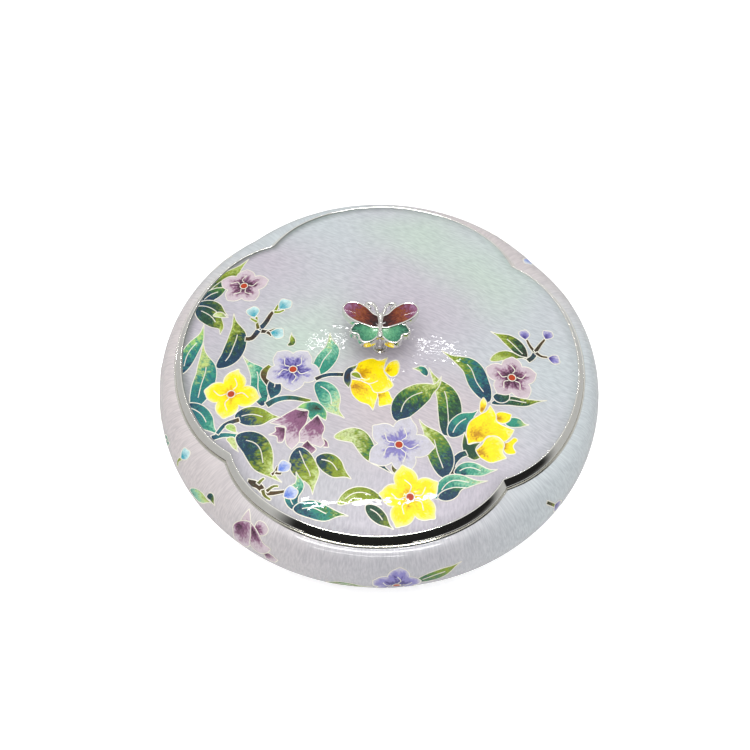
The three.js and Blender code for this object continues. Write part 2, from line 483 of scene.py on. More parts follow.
def lid_row(share, drop, rough):
    """A ring of the lid at a share of the way from its centre to its edge."""

    def point(angle):
        reach = share * (LID_EDGE_RADIUS - lobe_dip(angle))
        x, y = reach * math.cos(angle), reach * math.sin(angle)
        return (x, y, lid_height(x, y) - drop + rough * ripple((x, y, LID_EDGE_HEIGHT)))

    return point


def painted_rim_shade(share):
    """Painted shade on the enamel next to the rim, darkest at the left, with a thin darker painted line
    at the very edge.
    """

    def shade(angle):
        left = max(0.0, -math.cos(angle + math.radians(25)))
        depth = (0.14 + 0.4 * left) * eased((share - RIM_SHADE_START) / RIM_SHADE_WIDTH)
        depth += (0.1 + 0.4 * left) * max(0.0, (share - RIM_SHADE_LINE_START) / RIM_SHADE_LINE_WIDTH)
        return (1 - depth, 1 - 0.94 * depth, 1 - depth)

    return shade


def ground_tint(nodes, place, patches, base):
    """The ground colour with soft round patches of other tints, each (x, y, radius, colour)."""
    wandering = nodes.scaled(nodes.noise(place, 22.0, output=1), WANDER * MM)
    moved = nodes.vector("ADD", place, wandering)
    flat = nodes.vector("MULTIPLY", moved, (1.0, 1.0, 0.0))
    colour = base
    for x, y, radius, tint in patches:
        centre = ((x + WANDER / 2) * MM, (y + WANDER / 2) * MM, 0.0)
        far = nodes.vector("DISTANCE", flat, centre, output=1)
        colour = nodes.mix(1 - nodes.fade(far, 0.0, 1.15 * radius * MM), colour, tint)
    return colour


def lid_ground(nodes):
    place = nodes.place()
    patches = [
        (-35, 70, 75, GROUND_BLUE),
        (55, 60, 70, GROUND_BLUE),
        (75, 0, 60, GROUND_BLUE),
        (15, 66, 32, GROUND_MINT),
        (40, 48, 30, GROUND_MINT),
        (-35, 2, 34, GROUND_MINT),
        (-58, 46, 34, GROUND_LILAC),
        (10, 25, 42, GROUND_LILAC),
        (0, -35, 34, GROUND_PINK),
        (35, -30, 30, GROUND_PINK),
        (-20, -70, 42, GROUND_GREY),
        (-75, -25, 35, GROUND_GREY),
    ]
    colour = ground_tint(nodes, place, patches, GROUND_LILAC)
    bend = nodes.scaled(nodes.noise(place, 45.0, output=1), 0.006)
    x, y, z = nodes.parts(nodes.vector("ADD", place, bend))
    along = x * 0.94 - y * 0.34
    across = x * 0.34 + y * 0.94
    level = nodes.noise(nodes.joined(along * 260.0, across * 1300.0, 0.0), 1.0)
    upright = nodes.noise(nodes.joined(x * 1100.0, y * 330.0, 0.0), 1.0)
    to_front = nodes.fade(y, -0.035, -0.07)
    strokes = level * (1 - to_front) + upright * to_front
    return pearly(nodes, colour, strokes)


lid_enamel = finish("lid_ground", lid_ground)
shares = [i / LID_ROWS for i in range(LID_ROWS + 1)]
lid_rows = [lid_row(max(share, CENTRE_SHARE), 0.0, 1.0) for share in shares]
# Painted shade of the rim on the lid's enamel, carried to the shader as a colour.
lid_shades = [painted_rim_shade(share) for share in shares]
turned("lid_enamel", lid_rows, lid_enamel, "lid", shades=lid_shades)

shares = [i / UNDER_ROWS for i in range(UNDER_ROWS, -1, -1)]
under_rows = [lid_row(max(share, CENTRE_SHARE), LID_WALL, 0.0) for share in shares]
turned("lid_underside", under_rows, plain_enamel, "lid")

# The lid's rim
# A silver band soldered round the lid: half round outside with a raised crest, and a
# flange below that drops into the mouth ring and keeps the lid in place.

BAND_UNDERSIDE = 46.3
BAND_FOOT = (90.6, 47.1)
BAND_LEAN_LOW = 57
BAND_LEAN_HIGH = 49
BAND_LENGTH = 3.5
BAND_STEPS = 12
FLANGE_INSIDE = 85.6
FLANGE_OUTSIDE = 86.8
FLANGE_TOP = 47.9
FLANGE_FOOT = 40.5

rim_section = [(90.1, BAND_UNDERSIDE), (90.45, BAND_UNDERSIDE + 0.3)]
reach, height = BAND_FOOT
for step in range(BAND_STEPS + 1):
    rim_section.append((reach, height))
    share = (step + 0.5) / BAND_STEPS
    lean = math.radians(BAND_LEAN_LOW + (BAND_LEAN_HIGH - BAND_LEAN_LOW) * share)
    reach -= math.cos(lean) * BAND_LENGTH / BAND_STEPS
    height += math.sin(lean) * BAND_LENGTH / BAND_STEPS
rim_section += [
    (88.55, LID_EDGE_HEIGHT + 0.02),
    (88.4, LID_EDGE_HEIGHT + 0.2),
    (88.2, LID_EDGE_HEIGHT + 0.3),
    (87.98, LID_EDGE_HEIGHT + 0.28),
    (87.8, LID_EDGE_HEIGHT + 0.16),
    (87.72, LID_EDGE_HEIGHT),
    (87.88, FLANGE_TOP),
    (FLANGE_INSIDE, FLANGE_TOP),
    (FLANGE_INSIDE, FLANGE_FOOT + 0.3),
    (FLANGE_INSIDE + 0.3, FLANGE_FOOT),
    (FLANGE_OUTSIDE - 0.3, FLANGE_FOOT),
    (FLANGE_OUTSIDE, FLANGE_FOOT + 0.3),
    (FLANGE_OUTSIDE, BAND_UNDERSIDE),
]
rim_rows = [station(radius, height, 1.0) for radius, height in rim_section]
turned("lid_rim_silver", rim_rows, polished_silver, "lid_rim", closed=True)

# The enamel picture
# Flower sprays in flat silver wires bent to shape and soldered on edge, with each cell
# filled with translucent colour that shades from one tint to the next.

WIRE_WIDTH = 0.44
WIRE_PROUD = 0.09
WIRE_STEP = 0.5
WIRE_SECTION = [(-0.5, -0.03), (-0.38, 0.75), (0.0, 1.0), (0.38, 0.75), (0.5, -0.03)]
CELL_LIFT = 0.03
LEVEL_LIFT = 0.012
EDGE_SHARE = 0.992
VEIN_REACH = (0.16, 0.62)
FULLNESS = 0.92
LEAF_COLUMNS = 14
TIP_START = 0.62
TIP_FLICK = 0.55
PETAL_ROW_GAP = 0.7
FEWEST_PETAL_ROWS = 8
EYE_RADIUS = 1.5
EYE_RING_RADIUS = 1.75
ROWS_TO_PETAL_EDGE = 19
STEPS_PER_PETAL = 24

NAVY = hue("143A58")
TEAL = hue("1F6F78")
SEA = hue("2C8F7A")
MINT = hue("86C8A8")
DEEP_GREEN = hue("1D4632")
GREEN = hue("3E7A36")
OLIVE = hue("86991F")
LIME = hue("BFD07C")
PALE_LIME = hue("D2DFA6")
FRESH = hue("A4D072")
BROWN = hue("54401F")
DARK_BROWN = hue("2E2118")
PLUM_HEART = hue("45243A")
PLUM = hue("8A5A7C")
PLUM_EDGE = hue("D4C4CE", 0.9)
VIOLET_HEART = hue("453B86")
VIOLET = hue("8680BE")
VIOLET_EDGE = hue("D2D0DC", 0.9)
AMBER = hue("B87A00")
GOLD = hue("EBC000")
YELLOW = hue("FFE600")
PALE_YELLOW = hue("F4EE96")
TURQUOISE = hue("1C9DB2")
TURQUOISE_EDGE = hue("CDE7E6")
BLUE = hue("3D6CD6")
BLUE_EDGE = hue("D3DBEC")
ORANGE_RED = hue("B23A10")


def cell_enamel(nodes):
    place = nodes.place()
    leafy = nodes.carried("Alpha")
    grains = nodes.speckle(place, 0.55, 3.0)
    clouds = nodes.speckle(place, 2.6)
    amount = nodes.fade(grains * 0.5 + clouds * 0.5, 0.3, 0.7)
    shade = nodes.mix(amount, (0.82, 0.81, 0.78), (1.0, 1.0, 1.0))
    dark_specks = nodes.fade(nodes.speckle(place, 0.8, 3.0), 0.5, 0.68) * leafy
    shade = nodes.mix(dark_specks * 0.6, shade, (0.42, 0.36, 0.3))
    tinted = nodes.times(nodes.carried("Color"), shade)
    light_specks = nodes.speckle(place, 0.6, 3.0) * 0.6 + clouds * 0.4
    light_specks = nodes.fade(light_specks, 0.54, 0.66) * leafy * nodes.fade(leafy, 0.6, 0.9)
    return {
        "Base Color": nodes.mix(light_specks * 0.3, tinted, hue("5FA86E")),
        "Roughness": 0.4,
        "Specular IOR Level": 0.1,
        "Coat Weight": 1.0,
        "Coat Roughness": 0.02,
        "Coat IOR": 1.36,
    }


def wire_silver(nodes):
    haze = nodes.speckle(nodes.place(), 1.5)
    colour = nodes.mix(haze, hue("D2CFC0"), hue("E2DFD2"))
    return {"Base Color": colour, "Metallic": 0.3, "Roughness": 0.5}


inlaid_enamel = finish("cell_enamel", cell_enamel)
cell_wire = finish("cell_wire", wire_silver)


def curve(points, steps, closed=False):
    """A smooth line through points; a point given twice makes a corner."""
    knots = [Vector(p) for p in points]
    if closed:
        knots = [knots[-1], *knots, knots[0], knots[1]]
    else:
        knots = [2 * knots[0] - knots[1], *knots, 2 * knots[-1] - knots[-2]]
    line = []
    for a, b, c, d in zip(knots, knots[1:], knots[2:], knots[3:]):
        if (c - b).length < 1e-6:
            continue
        before = b if (b - a).length < 1e-6 else a
        after = c if (d - c).length < 1e-6 else d
        for i in range(steps):
            t = i / steps
            bend = (c - before) / 2, (after - b) / 2
            line.append(
                (2 * t**3 - 3 * t**2 + 1) * b
                + (t**3 - 2 * t**2 + t) * bend[0]
                + (3 * t**2 - 2 * t**3) * c
                + (t**3 - t**2) * bend[1]
            )
    if not closed:
        line.append(knots[-2])
    return line


def resampled(line, step):
    """The line's points again, evenly spaced about this far apart."""
    lengths = [0.0]
    for a, b in zip(line, line[1:]):
        lengths.append(lengths[-1] + (b - a).length)
    count = max(int(round(lengths[-1] / step)), 2)
    out, k = [], 0
    for i in range(count + 1):
        want = lengths[-1] * i / count
        while k < len(line) - 2 and lengths[k + 1] < want:
            k += 1
        span = lengths[k + 1] - lengths[k] or 1.0
        out.append(line[k].lerp(line[k + 1], (want - lengths[k]) / span))
    return out


def left_of(ahead):
    """A flat direction turned a quarter to the left."""
    return Vector((-ahead.y, ahead.x))


def leftward(line, i):
    """The flat direction that points left of a line at its point i."""
    return left_of((line[min(i + 1, len(line) - 1)] - line[max(i - 1, 0)]).normalized())


def heading(angle):
    """The flat direction at an angle."""
    return Vector((math.cos(angle), math.sin(angle)))


def joined_up(outline):
    """An outline with its first point again at its end."""
    return outline + outline[:1]


def disc(middle, radius):
    """The outline of a small disc."""
    return [middle + radius * heading(math.radians(a)) for a in range(0, 360, 15)]


def inside(point, outline):
    """Whether a flat point lies inside a closed outline."""
    x, y = point
    within = False
    for a, b in zip(outline, joined_up(outline)[1:]):
        if (a[1] > y) == (b[1] > y):
            continue
        if x < a[0] + (b[0] - a[0]) * (y - a[1]) / (b[1] - a[1]):
            within = not within
    return within


def overlap(one, one_box, two, two_box):
    """Whether two closed outlines cover some of the same ground."""
    if one_box[0] > two_box[2] or one_box[2] < two_box[0]:
        return False
    if one_box[1] > two_box[3] or one_box[3] < two_box[1]:
        return False
    return any(inside(p, two) for p in one) or any(inside(p, one) for p in two)


def mottle(point):
    """How far the tint strays at a point, from about -1 to 1, in fine grains and small clouds."""
    flat = Vector((point[0], point[1], 0.0))
    return 1.1 * noise.noise(flat / 0.75) + 0.9 * noise.noise(flat / 2.3)


class Picture:
    """Cells and wires drawn flat, in mm, and then laid on a curved surface."""

    def __init__(self):
        self.motifs = []

    def motif(self, grid, outline, wires):
        """Adds a cell. grid holds rows of (point, colour), and outline is its closed edge."""
        xs = [p[0] for p in outline]
        ys = [p[1] for p in outline]
        box = (min(xs), min(ys), max(xs), max(ys))
        lift = CELL_LIFT
        for other in self.motifs:
            if overlap(outline, box, other["outline"], other["box"]):
                lift = max(lift, other["lift"] + LEVEL_LIFT)
        self.motifs.append(
            {"grid": grid, "outline": outline, "wires": wires, "box": box, "lift": lift}
        )

    def leaf(self, spine, width, colours, vein=VEIN_REACH):
        """A pointed leaf along a spine from base to tip, with one vein wire that sways aside."""
        line = resampled(curve(spine, 10), 0.6)
        last = len(line) - 1
        lower = line[last // 2] - line[0]
        upper = line[last] - line[last // 2]
        bowed = max(-1.0, min(6 * lower.normalized().cross(upper.normalized()), 1.0))
        flick = left_of(upper).normalized() * (-TIP_FLICK * width * bowed)
        for i, point in enumerate(line):
            line[i] = point + flick * max(0.0, (i / last - TIP_START) / (1 - TIP_START)) ** 2
        rows, left, right = [], [], []
        for i, point in enumerate(line):
            t = i / last
            side = leftward(line, i)
            half = width * math.sin(math.pi * min(t**0.74 * 0.97 + 0.03, 1.0)) ** FULLNESS
            half *= 1 - 0.55 * eased((t - 0.6) / 0.32)
            row = []
            for j in range(LEAF_COLUMNS + 1):
                across = 2 * j / LEAF_COLUMNS - 1
                spot = point + side * half * across
                stray = 0.28 * mottle(spot) + 0.16 * across * math.sin(math.pi * t)
                row.append((spot, (*ramp(colours, t + stray), 1.0)))
            rows.append(row)
            left.append(point + side * half)
            right.append(point - side * half)
        outline = left + right[::-1]
        wires = [joined_up(outline)]
        if vein:
            wires.append(self.vein_wire(line, width, int(vein[0] * last), int(vein[1] * last)))
        self.motif(rows, outline, wires)

    def vein_wire(self, line, width, start, end):
        """The wire along a leaf's middle, which bows to one side between its ends."""
        wire = []
        for i in range(start, end + 1):
            swing = math.sin(math.pi * (i - start) / max(end - start, 1))
            wire.append(line[i] + leftward(line, i) * width * 0.18 * swing)
        return wire

    def twig(self, spine, start_width, end_width, colours):
        """A stem that tapers from one width to another."""
        line = resampled(curve(spine, 10), 1.0)
        last = len(line) - 1
        rows, left, right = [], [], []
        for i, point in enumerate(line):
            t = i / last
            side = leftward(line, i) * (start_width + (end_width - start_width) * t) * 0.6
            tone = (*ramp(colours, t + 0.2 * mottle(point)), 1.0)
            rows.append([(point + side, tone), (point, tone), (point - side, tone)])
            left.append(point + side)
            right.append(point - side)
        outline = left + right[::-1]
        self.motif(rows, outline, [joined_up(outline)])

    def petal(self, edge, heart, colours, veins=(), grain=0.5):
        """A cell inside a closed edge, shaded from its heart to the edge and grainy at the heart."""
        outline = curve(edge, 6, closed=True)
        middle = Vector(heart)
        reach = max((p - middle).length for p in outline)
        count = max(FEWEST_PETAL_ROWS, int(reach / PETAL_ROW_GAP))
        rows = []
        for i in range(count + 1):
            share = i / count
            row = []
            for p in joined_up(outline):
                spot = middle.lerp(p, share)
                depth = 0.75 * (spot - middle).length / reach + 0.25 * share
                tone = ramp(colours, depth + 0.28 * min(1.0, 3 * share) * mottle(spot))
                row.append((spot, (*tone, grain * (1 - depth))))
            rows.append(row)
        self.motif(rows, outline, [joined_up(outline)] + [curve(v, 8) for v in veins])

    def flower(self, centre, radius, petals, turn, colours, waist=0.7, tip=0.05, vein=0.62, grain=0.5):
        """An open flower seen from above, with a red eye in a silver ring."""
        middle = Vector(centre)
        outline = []
        for i in range(STEPS_PER_PETAL * petals):
            petal, step = divmod(i, STEPS_PER_PETAL)
            from_petal = (i / STEPS_PER_PETAL + 0.5) % 1.0 * 2 - 1
            wobble = 1 + 0.06 * math.sin(3.7 * (petal + (step > STEPS_PER_PETAL / 2)) + turn)
            reach = waist + (wobble - waist) * math.cos(from_petal * math.pi / 2) ** 0.8
            reach += tip * math.exp(-((from_petal / 0.14) ** 2))
            angle = math.radians(turn) + 2 * math.pi * i / (STEPS_PER_PETAL * petals)
            outline.append(middle + radius * reach * heading(angle))
        rows = []
        for i in range(ROWS_TO_PETAL_EDGE + 1):
            share = i / ROWS_TO_PETAL_EDGE
            row = []
            for j, point in enumerate(joined_up(outline)):
                from_petal = (j / STEPS_PER_PETAL + 0.5) % 1.0 * 2 - 1
                spot = middle.lerp(point, share)
                streak = 0.1 * math.cos(9 * from_petal) + 0.26 * mottle(spot)
                tone = ramp(colours, share + streak * math.sin(math.pi * share))
                row.append((spot, (*tone, grain * (1 - share))))
            rows.append(row)
        wires = [joined_up(outline)]
        for k in range(petals):
            out = heading(math.radians(turn) + 2 * math.pi * k / petals)
            side = left_of(out)
            bend = 0.12 * radius * (1 if k % 2 else -1)
            knots = [
                middle + out * 2.2 + side * bend * 0.2,
                middle + out * radius * vein * 0.6 + side * bend,
                middle + out * radius * vein - side * bend * 0.4,
            ]
            wires.append(curve(knots, 6))
        self.motif(rows, outline, wires)
        eye = disc(middle, EYE_RADIUS)
        rows = []
        for share in (0.0, 0.5, 1.0):
            rows.append([(middle.lerp(p, share), ORANGE_RED) for p in joined_up(eye)])
        self.motif(rows, eye, [joined_up(disc(middle, EYE_RING_RADIUS))])

    def bud(self, base, towards, size, colours):
        """A half-open bud with three soft lobes."""
        out = heading(math.radians(towards))
        side = left_of(out)
        shape = [
            (0, 0), (0, 0), (0.35, 0.36), (0.75, 0.44), (0.92, 0.12), (0.98, -0.2), (0.6, -0.46),
            (0.25, -0.3),
        ]
        edge = [Vector(base) + size * (out * a + side * b) for a, b in shape]
        self.petal(edge, Vector(base) + out * size * 0.2, colours)

    def hidden(self, point, index):
        """Whether a cell made later than this one covers the point."""
        for other in self.motifs[index + 1 :]:
            low_x, low_y, high_x, high_y = other["box"]
            if low_x < point.x < high_x and low_y < point.y < high_y:
                if inside(point, other["outline"]):
                    return True
        return False

    def open_runs(self, wire, index):
        """The stretches of a wire that no later cell covers."""
        run = []
        for point in resampled(wire, WIRE_STEP):
            if not self.hidden(point, index):
                run.append(point)
                continue
            if len(run) > 1:
                yield run
            run = []
        if len(run) > 1:
            yield run

    def lay_cells(self, name, place):
        """Makes the cells' mesh, with place(x, y, lift) on the surface."""
        points, faces, colours = [], [], []
        for motif in self.motifs:
            grid = motif["grid"]
            first, width = len(points), len(grid[0])
            for row in grid:
                for (x, y), tone in row:
                    points.append(place(x, y, motif["lift"]))
                    colours.append(tone)
            for i in range(len(grid) - 1):
                for j in range(width - 1):
                    a = first + i * width + j
                    faces.append((a, a + 1, a + width + 1, a + width))
        add_object(name, points, faces, inlaid_enamel, colours=colours)

    def lay_wires(self, name, place):
        """Makes the wires' mesh, with place(x, y, lift) on the surface."""
        points, faces = [], []
        width = len(WIRE_SECTION)
        for index, motif in enumerate(self.motifs):
            for wire in motif["wires"]:
                for run in self.open_runs(wire, index):
                    first = len(points)
                    for i, point in enumerate(run):
                        side = leftward(run, i) * WIRE_WIDTH
                        for across, up in WIRE_SECTION:
                            x, y = point + side * across
                            points.append(place(x, y, motif["lift"] + WIRE_PROUD * up))
                    for i in range(len(run) - 1):
                        for j in range(width - 1):
                            a = first + i * width + j
                            faces.append((a, a + 1, a + width + 1, a + width))
        add_object(name, points, faces, cell_wire)


def on_lid(x, y, lift):
    """The point over (x, y) on the lid's enamel, kept inside its rim."""
    edge = (LID_EDGE_RADIUS - lobe_dip(math.atan2(y, x))) * EDGE_SHARE
    pull = min(1.0, edge / max(math.hypot(x, y), 1e-6))
    x, y = x * pull, y * pull
    return (x, y, lid_height(x, y) + ripple((x, y, LID_EDGE_HEIGHT)) + lift)


PLUM_PETALS = (PLUM_HEART, PLUM_HEART, PLUM, PLUM_EDGE, PLUM_EDGE)
VIOLET_PETALS = (VIOLET_HEART, VIOLET_HEART, VIOLET, VIOLET_EDGE, VIOLET_EDGE)
LIGHT_VIOLET_PETALS = (VIOLET_HEART, VIOLET, VIOLET, VIOLET_EDGE, VIOLET_EDGE, VIOLET_EDGE)
YELLOW_PETALS = (AMBER, GOLD, YELLOW, YELLOW, YELLOW, PALE_YELLOW)
YELLOW_BELL = (AMBER, GOLD, YELLOW, YELLOW, PALE_YELLOW)
YELLOW_LIP = (AMBER, YELLOW, YELLOW, PALE_YELLOW)
YELLOW_TIP = (AMBER, YELLOW, YELLOW)
YELLOW_GRAIN = 0.12
MAUVE_BELL = (PLUM_HEART, PLUM, PLUM, PLUM_EDGE, PLUM_EDGE)
MAUVE_LIP = (PLUM_HEART, PLUM, PLUM_EDGE)
TURQUOISE_BUD = (TURQUOISE, TURQUOISE_EDGE)
BLUE_BUD = (BLUE, BLUE_EDGE)
VIOLET_BUD = (VIOLET_HEART, VIOLET, VIOLET_EDGE)
BLADE = (NAVY, DEEP_GREEN, OLIVE, LIME)
DARK_BLADE = (NAVY, NAVY, DEEP_GREEN, GREEN, OLIVE)
LONG_BLADE = (NAVY, NAVY, DEEP_GREEN, OLIVE, LIME)
OLIVE_BLADE = (NAVY, NAVY, OLIVE, OLIVE, LIME)
SMALL_BLADE = (NAVY, DEEP_GREEN, OLIVE)
TWIG = (DARK_BROWN, BROWN, OLIVE)
TWIG_END = (BROWN, OLIVE)
BROWN_TWIG = (DARK_BROWN, BROWN)
GREEN_TWIG = (OLIVE, OLIVE)
BUD_STALK = (BROWN, BROWN)

spray = Picture()

# The spray at the left edge of the lid
# Leaves that spring from the rim, a plum flower, a yellow flower and turquoise buds on
# forked twigs, each a cell of enamel inside its own wire.
spray.leaf([(-86, 18), (-80, 28), (-74, 36), (-66, 47)], 5.0, BLADE)
spray.leaf([(-85, 20), (-79, 25), (-72, 30)], 3.4, DARK_BLADE)
spray.flower((-66, 30), 10.5, 5, 20, PLUM_PETALS)
spray.leaf([(-86, 19), (-79, 18), (-74, 15), (-71, 11)], 2.8, SMALL_BLADE, vein=None)
spray.leaf(
    [(-86, 17), (-81, 13), (-76, 9), (-72.5, 5), (-73.8, 0.5)], 4.2,
    (NAVY, DEEP_GREEN, DEEP_GREEN, OLIVE, LIME),
)
spray.leaf([(-69.8, -16.5), (-64.5, -9), (-64, 2), (-70, 12.5)], 4.8, LONG_BLADE)
spray.leaf([(-77, 12), (-74, 12.6), (-70, 10.5)], 1.5, (PALE_LIME, LIME, NAVY), vein=None)
spray.twig([(-60, -0.6), (-57, 0), (-54.6, 4.8)], 2.0, 2.4, (BROWN, DARK_BROWN, NAVY))
spray.twig([(-54.6, 4.5), (-52.2, 9), (-50.5, 14), (-49, 15.8)], 2.4, 1.6, (NAVY, DARK_BROWN, BROWN))
spray.twig([(-49.2, 15), (-48.6, 17.5), (-48, 19.6)], 1.5, 1.0, GREEN_TWIG)
spray.twig([(-49.5, 15), (-47, 15.2), (-45, 16.6)], 1.5, 1.0, GREEN_TWIG)
spray.twig([(-55, 5), (-56, 8), (-57, 12)], 1.6, 1.0, TWIG_END)
spray.twig([(-56, 9), (-58, 10), (-59.6, 11)], 1.4, 0.9, GREEN_TWIG)
spray.twig([(-53.6, 4), (-50, 4), (-47.5, 5.6)], 2.0, 1.1, BROWN_TWIG)
spray.twig([(-51, 3.8), (-49.5, 2.8), (-48.4, 1.6)], 1.6, 1.0, BROWN_TWIG)
spray.bud((-47.4, 16.8), 55, 7.0, TURQUOISE_BUD)
spray.bud((-57.8, 11.4), 110, 6.6, TURQUOISE_BUD)
spray.bud((-49.4, 3.8), -8, 6.6, TURQUOISE_BUD)
spray.leaf([(-85.4, -20), (-83.6, -9), (-80.5, 0), (-80.2, 7.2)], 3.7, (NAVY, TEAL, SEA, FRESH, LIME))
spray.leaf([(-76.5, -37), (-74.5, -27), (-74.5, -17), (-81, -4)], 5.0, (TEAL, TEAL, SEA, LIME, LIME))
spray.leaf(
    [(-46.5, -34.5), (-49, -27), (-51.5, -18), (-61, -11)], 4.0, (NAVY, SEA, SEA, MINT, PALE_LIME)
)
spray.flower(
    (-61.2, -29.4), 11.4, 4, 84, YELLOW_PETALS, grain=YELLOW_GRAIN, waist=0.6, tip=0.08, vein=0.7
)
spray.leaf([(-80, -35), (-73, -40), (-68, -45), (-64, -50.5)], 4.2, (NAVY, TEAL, SEA, MINT))
spray.leaf([(-57.8, -40), (-51, -39.5), (-45, -39.5), (-38, -38.4)], 4.6, OLIVE_BLADE)
spray.twig([(-66, -50.5), (-61, -48.8), (-55, -49)], 2.2, 1.6, (NAVY, TEAL, SEA))
spray.twig([(-64, -48.5), (-61, -44), (-55.4, -41.4)], 1.6, 2.0, (TEAL, NAVY, BROWN))
spray.leaf([(-61, -45), (-58, -45.4), (-55.5, -48.2)], 1.6, (FRESH, LIME), vein=None)
spray.leaf([(-59.5, -50.4), (-56.5, -51.5), (-54, -56.5)], 1.6, (LIME, PALE_LIME), vein=None)
spray.leaf(
    [(-55.5, -48.8), (-47, -53), (-42, -61), (-35.6, -70.5)], 5.8,
    (NAVY, NAVY, DEEP_GREEN, OLIVE, LIME, PALE_LIME),
)

# The middle of the lid's picture
# A violet flower, a drooping mauve bell and a yellow bell on bowed stems. Each bell is
# pieced together from wired cells: its lips, its two wide petals and its cup.
spray.leaf([(-26.4, -17.5), (-23.6, -11), (-21, -3), (-25, 5)], 4.4, (SEA, SEA, MINT, LIME))
spray.leaf(
    [(-25.5, -21), (-20, -26), (-16.5, -33), (-11, -37.6)], 4.8, (TEAL, SEA, MINT, PALE_LIME, LIME)
)
spray.leaf([(-40.6, -3), (-38.6, -1), (-40.4, 4)], 1.4, (DEEP_GREEN, OLIVE, LIME), vein=None)
spray.twig([(-46, -14.4), (-48.4, -18.5), (-44.5, -23.5)], 2.8, 3.6, (OLIVE, BROWN, DARK_BROWN))
spray.leaf([(-44.5, -21), (-42.8, -26.5), (-44.6, -32)], 3.2, (NAVY, NAVY, TEAL), vein=(0.1, 0.4))
spray.twig(
    [(-45, -34), (-41, -31), (-35, -29.6), (-26.4, -30.6)], 2.6, 1.6,
    (DARK_BROWN, TEAL, DEEP_GREEN, OLIVE),
)
spray.flower((-36.3, -15.3), 11.2, 5, 62, VIOLET_PETALS, waist=0.74)
spray.twig(
    [(-26, -19.6), (-22.5, -17.4), (-19, -16.4), (-13.4, -16)], 1.7, 1.8,
    (DARK_BROWN, NAVY, NAVY, DARK_BROWN),
)

# The mauve bell: two lips behind, two wide petals, a lip in front and the green cup.
spray.petal(
    [
        (-35.4, -44), (-35.4, -44), (-39.6, -43.8), (-39.2, -46), (-42, -47.8), (-42, -47.8),
        (-38.4, -48.4), (-37.6, -51), (-35.4, -50.6), (-35, -47),
    ],
    (-36, -45), MAUVE_LIP,
)
spray.petal(
    [(-19.4, -47.4), (-19.4, -47.4), (-17, -49), (-16, -51.6), (-16, -51.6), (-18.8, -51.4)],
    (-19, -48.6), MAUVE_LIP,
)
spray.petal(
    [
        (-22.6, -37), (-22.6, -37), (-20.4, -40), (-18.8, -43), (-19.4, -47), (-18, -50), (-19.4, -52),
        (-19.4, -52), (-23, -51), (-27, -50.4), (-29.4, -50), (-29.4, -46), (-27, -42),
    ],
    (-22.6, -38.6), MAUVE_BELL,
)
spray.petal(
    [
        (-32.4, -34.8), (-32.4, -34.8), (-29.4, -35.4), (-26.6, -35.2), (-26.6, -35.2), (-26.8, -41),
        (-29, -45.6), (-28.6, -50), (-31.2, -54), (-31.2, -54), (-34, -51.4), (-35, -47), (-35.2, -44),
        (-38, -43), (-42.4, -42.2), (-42.4, -42.2), (-38.6, -39.6), (-35.4, -37),
    ],
    (-28.6, -36.4), MAUVE_BELL,
)
spray.petal(
    [
        (-25.2, -49.2), (-25.2, -49.2), (-23, -51.4), (-21, -53), (-22.4, -55), (-24.4, -57),
        (-24.4, -57), (-26.6, -55), (-27.2, -52),
    ],
    (-24.6, -51), MAUVE_LIP,
)
spray.petal(
    [
        (-32, -34.4), (-32, -34.4), (-29, -31.6), (-24, -30.8), (-20.6, -33), (-18.8, -36),
        (-18.8, -39.4), (-18.8, -39.4), (-21.4, -38), (-22.8, -37), (-25, -40), (-25, -40),
        (-26.6, -37.8), (-27, -35.2),
    ],
    (-24, -34), (DARK_BROWN, SEA, FRESH),
)

# The yellow bell: two lips behind, two wide petals, the dark cup and a scrap of leaf.
spray.petal(
    [(3, -12.2), (3, -12.2), (4.6, -8), (8, -6), (9.6, -9), (9, -13.4), (6.4, -15)], (4.4, -11.8),
    YELLOW_LIP, grain=YELLOW_GRAIN,
)
spray.petal(
    [
        (0.8, -23.6), (0.8, -23.6), (5.4, -22), (7.4, -25), (9.4, -28.2), (9.4, -28.2), (5.6, -29.4),
        (2.6, -30.2), (2, -26.4),
    ],
    (2.4, -24.6), YELLOW_LIP, grain=YELLOW_GRAIN,
)
spray.petal(
    [
        (-10.8, -18), (-10.8, -18), (-7, -18.2), (-2, -19.4), (1.4, -24), (1.2, -28), (0.4, -32.6),
        (0.4, -32.6), (-2, -30), (-6, -28.8), (-9.4, -25.4), (-10.6, -21.4),
    ],
    (-8.4, -21), YELLOW_BELL, grain=YELLOW_GRAIN,
)
spray.petal(
    [
        (-10.8, -14.2), (-10.8, -14.2), (-8.4, -9.2), (-3, -6.2), (0.4, -7), (4, -5), (4, -5),
        (3, -12), (6, -16.4), (7.8, -19.4), (4.4, -22.8), (0, -23.4), (-2.4, -20), (-6.4, -18.2),
    ],
    (-6.4, -15), YELLOW_PETALS, grain=YELLOW_GRAIN, veins=[[(-6.2, -18.2), (-2.4, -19.4), (1, -17.6)]],
)
spray.petal(
    [
        (-14, -15.4), (-12.6, -12.4), (-8.6, -10.2), (-8.6, -10.2), (-9.6, -13), (-11, -15),
        (-10.4, -19), (-11, -22.6), (-11, -22.6), (-13.6, -19.6),
    ],
    (-12.2, -16), (DARK_BROWN, NAVY, OLIVE),
)
spray.leaf([(-11, -15.4), (-8.6, -15.6), (-5.8, -17.8)], 1.4, (OLIVE, OLIVE), vein=None)

